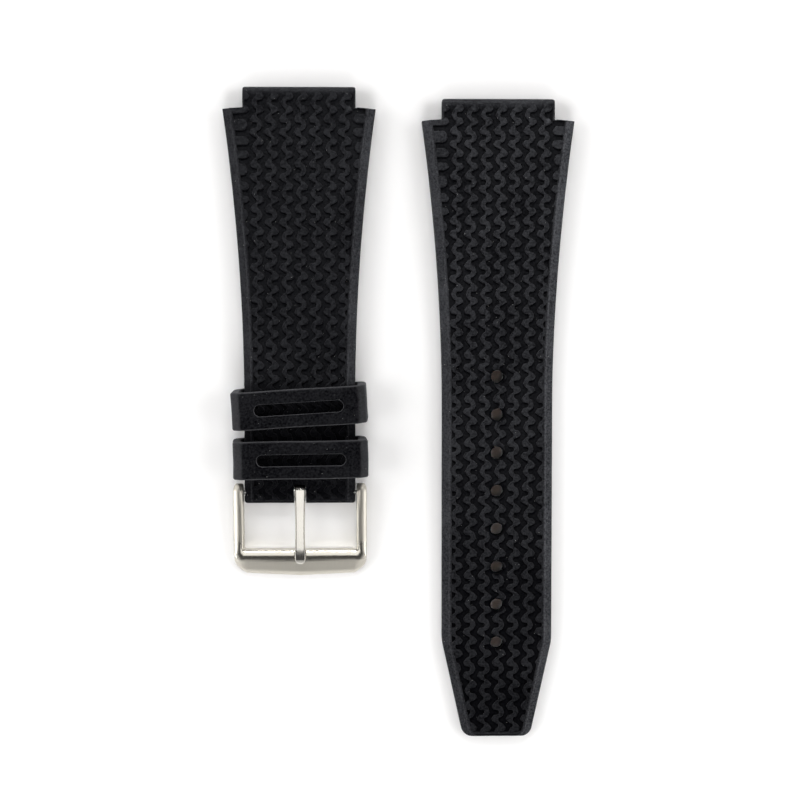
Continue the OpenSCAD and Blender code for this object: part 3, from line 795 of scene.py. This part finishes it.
def tang_mesh():
    # (u, underside, top, half width)
    top_z = BAR_Z + 1.4
    sections = [(-0.76, top_z - 0.8, top_z - 0.3, 0.86), (-0.73, top_z - 0.9, top_z - 0.12, 0.95), (-0.66, top_z - 0.95, top_z - 0.03, 1.0),
                (-0.4, top_z - 1.0, top_z + 0.01, 1.03), (0.4, top_z - 1.1, top_z + 0.03, 1.04),
                (1.5, top_z - 1.15, top_z + 0.03, 1.03), (2.6, top_z - 1.15, top_z + 0.02, 1.01), (4.0, top_z - 1.08, top_z - 0.02, 0.98),
                (5.6, top_z - 1.05, top_z + 0.0, 0.94), (8.0, top_z - 1.12, top_z + 0.01, 0.95), (9.6, top_z - 1.2, top_z + 0.0, 0.98),
                (11.0, 3.05, top_z - 0.02, 1.02), (11.7, 3.04, top_z - 0.08, 1.03), (12.5, 3.04, top_z - 0.2, 1.03),
                (13.2, 3.04, top_z - 0.38, 0.99), (13.5, 3.05, top_z - 0.51, 0.9), (13.75, 3.07, top_z - 0.67, 0.76),
                (13.92, 3.1, top_z - 0.84, 0.55), (14.03, 3.16, top_z - 0.97, 0.34), (14.08, 3.24, top_z - 1.05, 0.14)]
    # smooth the stations along the tang
    us = np.array([s[0] for s in sections])
    fine = np.concatenate([np.linspace(us[i], us[i + 1], 5)[:-1] for i in range(len(us) - 1)] + [[us[-1]]])
    cols = [np.interp(fine, us, [s[k] for s in sections]) for k in (1, 2, 3)]
    for c in cols:
        for _ in range(3):
            c[1:-1] = (c[:-2] + 2 * c[1:-1] + c[2:]) / 4
    verts, faces = [], []
    m = 44
    for u, lo, hi, w in zip(fine, *cols):
        mid, hh = (lo + hi) / 2, (hi - lo) / 2
        for j in range(m):
            a = 2 * math.pi * j / m
            c, s = math.cos(a), math.sin(a)
            # flat on top with round edges
            x = w * math.copysign(abs(c) ** 0.32, c)
            z = mid + hh * math.copysign(abs(s) ** 0.32, s)
            verts.append((x - LANE, BAR_Y - u, z))
    n = len(fine)
    faces.append(tuple(range(m)))
    for i in range(n - 1):
        for j in range(m):
            k = (j + 1) % m
            faces.append((i * m + j, (i + 1) * m + j, (i + 1) * m + k, i * m + k))
    faces.append(tuple((n - 1) * m + j for j in range(m - 1, -1, -1)))
    o = make_object("tang_steel", verts, faces)
    r, w = 1.4, 1.02
    profile = [(0.0, -w), (r - 0.25, -w), (r - 0.08, -w + 0.07), (r, -w + 0.25), (r, w - 0.25), (r - 0.08, w - 0.07), (r - 0.25, w), (0.0, w)]
    sleeve = lathe("sleeve", profile, "x", (-LANE, BAR_Y, BAR_Z), 64)
    boolean(o, [sleeve], "UNION")
    boolean(o, [lathe("bore", [(0.96, -3), (0.96, 3)], "x", (-LANE, BAR_Y, BAR_Z), 48)], "DIFFERENCE")
    shade(o, 40)
    return o


tang = tang_mesh()

# ---------------------------------------------------------------- materials


def new_material(name):
    m = bpy.data.materials.new(name)
    m.use_nodes = True
    t = m.node_tree
    return m, t, t.nodes["Principled BSDF"]


def node(t, kind, **values):
    n = t.nodes.new(kind)
    for k, v in values.items():
        if k in n.inputs:
            n.inputs[k].default_value = v
        else:
            setattr(n, k, v)
    return n


def math_node(t, op, a, b=None, clamp=False):
    n = t.nodes.new("ShaderNodeMath")
    n.operation = op
    n.use_clamp = clamp
    for i, v in enumerate((a, b)):
        if v is None:
            continue
        if isinstance(v, (int, float)):
            n.inputs[i].default_value = v
        else:
            t.links.new(v, n.inputs[i])
    return n.outputs[0]


def mix_colour(t, factor, a, b):
    n = t.nodes.new("ShaderNodeMix")
    n.data_type = "RGBA"
    if isinstance(factor, (int, float)):
        n.inputs[0].default_value = factor
    else:
        t.links.new(factor, n.inputs[0])
    for i, v in ((6, a), (7, b)):
        if isinstance(v, tuple):
            n.inputs[i].default_value = v
        else:
            t.links.new(v, n.inputs[i])
    return n.outputs[2]


def noise(t, coords, scale, detail=3.0, rough=0.55):
    n = node(t, "ShaderNodeTexNoise")
    n.inputs["Scale"].default_value = scale
    n.inputs["Detail"].default_value = detail
    n.inputs["Roughness"].default_value = rough
    t.links.new(coords, n.inputs["Vector"])
    return n.outputs["Fac"]


def rubber(name, base, level, groove_painted_shade, specks, grain, rough, painted_sheen):
    """Dull rubber: hardly any body colour, a broad sheen that varies with the grain, and a painted sheen: paler colour
    where it turns away from view.
    """
    m, t, p = new_material(name)
    coords = node(t, "ShaderNodeTexCoord").outputs["Object"]
    broad = noise(t, coords, 130.0, 4.0)
    fine = noise(t, coords, 2600.0, 2.0, 0.7)
    mix = math_node(t, "ADD", math_node(t, "MULTIPLY", broad, 0.3), math_node(t, "MULTIPLY", fine, 0.9))
    spread = math_node(t, "MULTIPLY_ADD", mix, 3.4, False)
    spread.node.inputs[2].default_value = -1.54
    spread.node.use_clamp = True
    sheen = math_node(t, "MULTIPLY_ADD", spread, level[1] - level[0])
    sheen.node.inputs[2].default_value = level[0]
    # painted shade: the "groove" attribute darkens the sheen in the grooves, under the keepers, in the tang holes and
    # towards the tip
    if groove_painted_shade:
        a = node(t, "ShaderNodeAttribute", attribute_name="groove")
        keep = math_node(t, "SUBTRACT", 1.0, math_node(t, "MULTIPLY", a.outputs["Fac"], groove_painted_shade))
        sheen = math_node(t, "MULTIPLY", sheen, keep)
        # painted highlight: this attribute raises the sheen on the border and the round of the lug end
        a = node(t, "ShaderNodeAttribute", attribute_name="painted_highlight")
        more = math_node(t, "MULTIPLY_ADD", a.outputs["Fac"], 1.1)
        more.node.inputs[2].default_value = 1.0
        sheen = math_node(t, "MULTIPLY", sheen, more)
    t.links.new(sheen, p.inputs["Specular IOR Level"])
    p.inputs["Specular Tint"].default_value = (0.9, 0.92, 1.0, 1)
    # painted sheen: the colour pales where the surface turns away from view, so edges, slopes and shoulders look lit
    w = node(t, "ShaderNodeLayerWeight")
    w.inputs["Blend"].default_value = 0.5
    turned = node(t, "ShaderNodeValToRGB")
    steps = [(0.0, 0.0), (0.08, 0.03), (0.16, 0.22), (0.25, 0.34), (0.5, 0.6), (0.8, 1.0)]
    turned.color_ramp.elements[0].position, turned.color_ramp.elements[1].position = steps[0][0], steps[-1][0]
    turned.color_ramp.elements[0].color, turned.color_ramp.elements[1].color = (0, 0, 0, 1), (1, 1, 1, 1)
    for place, height in steps[1:-1]:
        turned.color_ramp.elements.new(place).color = (height, height, height, 1)
    t.links.new(w.outputs["Facing"], turned.inputs[0])
    colour = mix_colour(t, turned.outputs[0], base, painted_sheen)
    # pale dust specks caught in the surface
    v = node(t, "ShaderNodeTexVoronoi")
    v.inputs["Scale"].default_value = specks
    t.links.new(coords, v.inputs["Vector"])
    near = math_node(t, "LESS_THAN", v.outputs["Distance"], 0.085)
    sep = node(t, "ShaderNodeSeparateColor")
    t.links.new(v.outputs["Color"], sep.inputs[0])
    few = math_node(t, "GREATER_THAN", sep.outputs[0], 0.6)
    dot = math_node(t, "MULTIPLY", near, few)
    dot = math_node(t, "MULTIPLY", dot, math_node(t, "MULTIPLY", sep.outputs[1], 0.5))
    colour = mix_colour(t, dot, colour, (0.42, 0.42, 0.40, 1))
    t.links.new(colour, p.inputs["Base Color"])
    r = math_node(t, "MULTIPLY_ADD", fine, 0.16)
    r.node.inputs[2].default_value = rough - 0.08
    t.links.new(r, p.inputs["Roughness"])
    bump = node(t, "ShaderNodeBump")
    bump.inputs["Strength"].default_value = grain
    bump.inputs["Distance"].default_value = 0.00003
    t.links.new(fine, bump.inputs["Height"])
    t.links.new(bump.outputs["Normal"], p.inputs["Normal"])
    return m


def steel(name, base, rough, brush, by_face=False):
    m, t, p = new_material(name)
    p.inputs["Metallic"].default_value = 1.0
    coords = node(t, "ShaderNodeTexCoord").outputs["Object"]
    stretch = node(t, "ShaderNodeMapping")
    stretch.inputs["Scale"].default_value = (9000.0, 260.0, 900.0)
    t.links.new(coords, stretch.inputs["Vector"])
    lines = noise(t, stretch.outputs["Vector"], 1.0, 3.0, 0.6)
    broad = noise(t, coords, 240.0, 3.0)
    colour = mix_colour(t, lines, tuple(c * 0.86 for c in base[:3]) + (1,), base)
    colour = mix_colour(t, math_node(t, "MULTIPLY", broad, 0.25), colour, tuple(c * 0.8 for c in base[:3]) + (1,))
    t.links.new(colour, p.inputs["Base Color"])
    r = math_node(t, "MULTIPLY_ADD", lines, 0.16)
    r.node.inputs[2].default_value = rough - 0.06
    bump = node(t, "ShaderNodeBump")
    bump.inputs["Distance"].default_value = 0.00001
    bump.inputs["Strength"].default_value = brush
    if by_face:
        a = node(t, "ShaderNodeAttribute", attribute_name="face")
        r2 = math_node(t, "MULTIPLY_ADD", a.outputs["Fac"], 0.19)
        t.links.new(r, r2.node.inputs[2])
        r = r2
        s = math_node(t, "MULTIPLY_ADD", a.outputs["Fac"], 0.5)
        s.node.inputs[2].default_value = 0.16
        t.links.new(s, bump.inputs["Strength"])
    t.links.new(r, p.inputs["Roughness"])
    t.links.new(lines, bump.inputs["Height"])
    t.links.new(bump.outputs["Normal"], p.inputs["Normal"])
    return m


# the last colour of each rubber is its painted sheen, shown where the surface turns away from view
strap_rubber = rubber("strap_rubber", (0.0008, 0.0008, 0.0014, 1), (0.11, 0.58), 0.66, 1300.0, 0.7, 0.86, (0.008, 0.008, 0.009, 1))
# the buckle half is a little duller than the tail half
dull_rubber = rubber("strap_rubber_dull", (0.0008, 0.0008, 0.0014, 1), (0.075, 0.37), 0.45, 1300.0, 0.7, 0.86, (0.008, 0.008, 0.009, 1))
keeper_rubber = rubber("keeper_rubber", (0.0006, 0.0006, 0.0011, 1), (0.0, 0.25), 0.0, 1300.0, 0.7, 0.86, (0.075, 0.075, 0.08, 1))
frame_steel = steel("buckle_steel", (0.68, 0.645, 0.57, 1), 0.2, 0.3, True)
tang_steel = steel("tang_steel", (0.69, 0.665, 0.61, 1), 0.2, 0.2)
bar_steel = steel("bar_steel", (0.5, 0.5, 0.49, 1), 0.3, 0.2)

for piece, material in ((buckle_strap, dull_rubber), (tail_strap, strap_rubber), (lower_keeper, keeper_rubber),
                        (upper_keeper, keeper_rubber), (buckle_frame, frame_steel), (tang, tang_steel)):
    piece.data.materials.clear()
    piece.data.materials.append(material)
for n in ("spring_bar_tube", "spring_bar_spring", "spring_bar_left_plunger", "spring_bar_right_plunger"):
    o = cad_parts[n]
    o.data.materials.clear()
    o.data.materials.append(bar_steel)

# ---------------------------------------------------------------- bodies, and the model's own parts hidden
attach(buckle_strap, "buckle_half")
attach(tail_strap, "tail_half")
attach(lower_keeper, "lower_loop")
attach(upper_keeper, "upper_loop")
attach(buckle_frame, "buckle")
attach(tang, "tang")
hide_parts("buckle_side_strap")
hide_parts("tail_side_strap")
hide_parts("lower_keeper")
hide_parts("upper_keeper")
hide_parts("buckle_frame")
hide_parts("buckle_tang")

# ---------------------------------------------------------------- stage, light and camera
ground = bpy.data.meshes.new("ground")
g = 1.6
ground.from_pydata([(-g, -g, 0), (g, -g, 0), (g, g, 0), (-g, g, 0)], [], [(0, 1, 2, 3)])
floor = bpy.data.objects.new("ground", ground)
bpy.context.scene.collection.objects.link(floor)
fm, ft, fp = new_material("pale_ground")
fp.inputs["Base Color"].default_value = (0.93, 0.93, 0.93, 1)
fp.inputs["Roughness"].default_value = 0.9
fp.inputs["Specular IOR Level"].default_value = 0.0
ground.materials.append(fm)

world = bpy.data.worlds.new("studio")
bpy.context.scene.world = world
world.use_nodes = True
wt = world.node_tree
bg = wt.nodes["Background"]
wc = node(wt, "ShaderNodeTexCoord").outputs["Generated"]
sep = node(wt, "ShaderNodeSeparateXYZ")
wt.links.new(wc, sep.inputs[0])
ramp = node(wt, "ShaderNodeValToRGB")
# brightness of the studio by direction, from the horizon (0) to straight up (1), in tenths of the strength below
STUDIO = [(0.0, 0.12), (0.12, 0.105), (0.27, 0.072), (0.36, 0.066), (0.57, 0.066), (0.66, 0.005), (0.9, 0.005), (0.93, 0.004), (1.0, 0.004)]
ramp.color_ramp.elements[0].position, ramp.color_ramp.elements[1].position = STUDIO[0][0], STUDIO[-1][0]
ramp.color_ramp.elements[0].color = (STUDIO[0][1],) * 3 + (1,)
ramp.color_ramp.elements[1].color = (STUDIO[-1][1],) * 3 + (1,)
for place, level in STUDIO[1:-1]:
    e = ramp.color_ramp.elements.new(place)
    e.color = (level, level, level, 1)
wt.links.new(sep.outputs[2], ramp.inputs[0])
wt.links.new(ramp.outputs[0], bg.inputs["Color"])
bg.inputs["Strength"].default_value = 10.0


def area(name, place, target, size, power, colour=(1, 1, 1)):
    l = bpy.data.lights.new(name, "AREA")
    l.shape = "RECTANGLE"
    l.size, l.size_y = size
    l.energy = power
    l.color = colour
    o = bpy.data.objects.new(name, l)
    bpy.context.scene.collection.objects.link(o)
    o.location = place
    o.rotation_euler = (Vector(target) - Vector(place)).to_track_quat("-Z", "Y").to_euler()
    return o


area("key", (-0.03, 0.3, 0.312), (0, 0, 0), (0.156, 0.156), 3.3).visible_diffuse = False
area("right", (0.85, -0.1, 0.14), (0, 0, 0), (0.9, 0.22), 1.5)
area("left", (-0.85, -0.1, 0.2), (0, 0, 0), (0.9, 0.3), 2.2)
# a round softbox above, which the steel and the rubber mirror
top = area("top", (0, 0, 1.5), (0, 0, 0), (1.0, 1.0), 3.7)
top.data.shape = "DISK"
top.visible_diffuse = False
# soft fill from all four sides, which nothing mirrors
for n, place in (("fill_right", (0.69, 0, 0.66)), ("fill_left", (-0.69, 0, 0.66)), ("fill_back", (0, 0.69, 0.66)), ("fill_front", (0, -0.69, 0.66))):
    area(n, place, (0, 0, 0), (0.6, 0.45), 3.1).visible_glossy = False

# a weak warm light, which falls through the tang holes onto the ground
area("warm", (0.16, -0.16, 1.0), (0, 0, 0), (0.08, 0.08), 0.3, (1.0, 0.68, 0.52)).visible_glossy = False

cam = bpy.data.cameras.new("camera")
camera = bpy.data.objects.new("camera", cam)
bpy.context.scene.collection.objects.link(camera)
DIST = 0.32
aim = Vector((0.0002, 0.0030, 0.004))
back = Vector((math.tan(math.radians(-1.36)), math.tan(math.radians(2.5)), 1.0)).normalized()
right = Vector((0, 1, 0)).cross(back).normalized()
up = back.cross(right)
camera.location = aim + back * DIST
camera.rotation_euler = Matrix((right, up, back)).transposed().to_euler()
cam.sensor_width = 36.0
cam.lens = 36.0 * DIST / 0.1557
cam.clip_start = 0.01
cam.clip_end = 10
bpy.context.scene.camera = camera
bpy.context.scene.view_settings.view_transform = "Standard"
